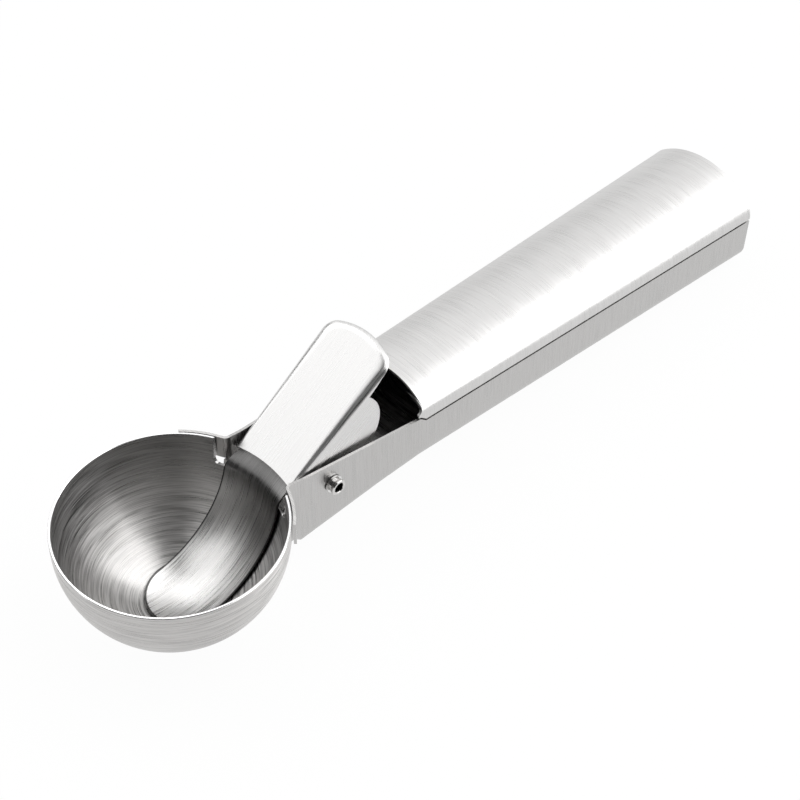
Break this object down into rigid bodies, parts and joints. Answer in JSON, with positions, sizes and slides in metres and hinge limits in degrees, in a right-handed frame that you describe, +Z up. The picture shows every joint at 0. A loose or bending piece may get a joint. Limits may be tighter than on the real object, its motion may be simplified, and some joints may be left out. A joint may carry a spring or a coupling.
{
  "type": "lever ice cream scoop",
  "caption": "All-steel ice cream scoop: hemispherical bowl on a hollow pressed handle, with a sprung thumb lever that swings a curved scraper through the bowl.",
  "frame": {"origin": "centre of the bounding box in X and Y, on the table that the scoop rests on", "axes": "+X from the bowl to the end of the grip, +Y across to the side away from the near wall, +Z up out of the bowl"},
  "size_m": [0.2192, 0.056, 0.0487],
  "materials": {
    "bowl_steel": "turned and brushed stainless steel",
    "handle_steel": "stainless steel brushed across the handle",
    "lever_steel": "stainless steel brushed along the lever",
    "blade_steel": "stainless steel brushed along the blade",
    "polished_steel": "polished stainless steel",
    "spring_steel": "drawn spring wire"
  },
  "bodies": {
    "handle": {"bowl": "bowl_steel", "handle_lower_shell": "handle_steel", "handle_upper_shell": "handle_steel", "handle_end_cap": "handle_steel", "pivot_rivet": "polished_steel", "pivot_washers": "polished_steel", "spacer_sleeve": "polished_steel", "return_spring": "spring_steel"},
    "lever": {"thumb_lever": "lever_steel", "scraper_blade": "blade_steel"}
  },
  "joints": [
    {"name": "lever_press", "type": "hinge", "parent": "handle", "child": "lever", "pos_m": [-0.04137, 0, 0.022], "axis": [0, 1, 0], "range_deg": [0, 30], "stiffness_Nm_per_rad": 0.25, "springref_deg": -28.65, "deforming": ["return_spring"]}
  ]
}
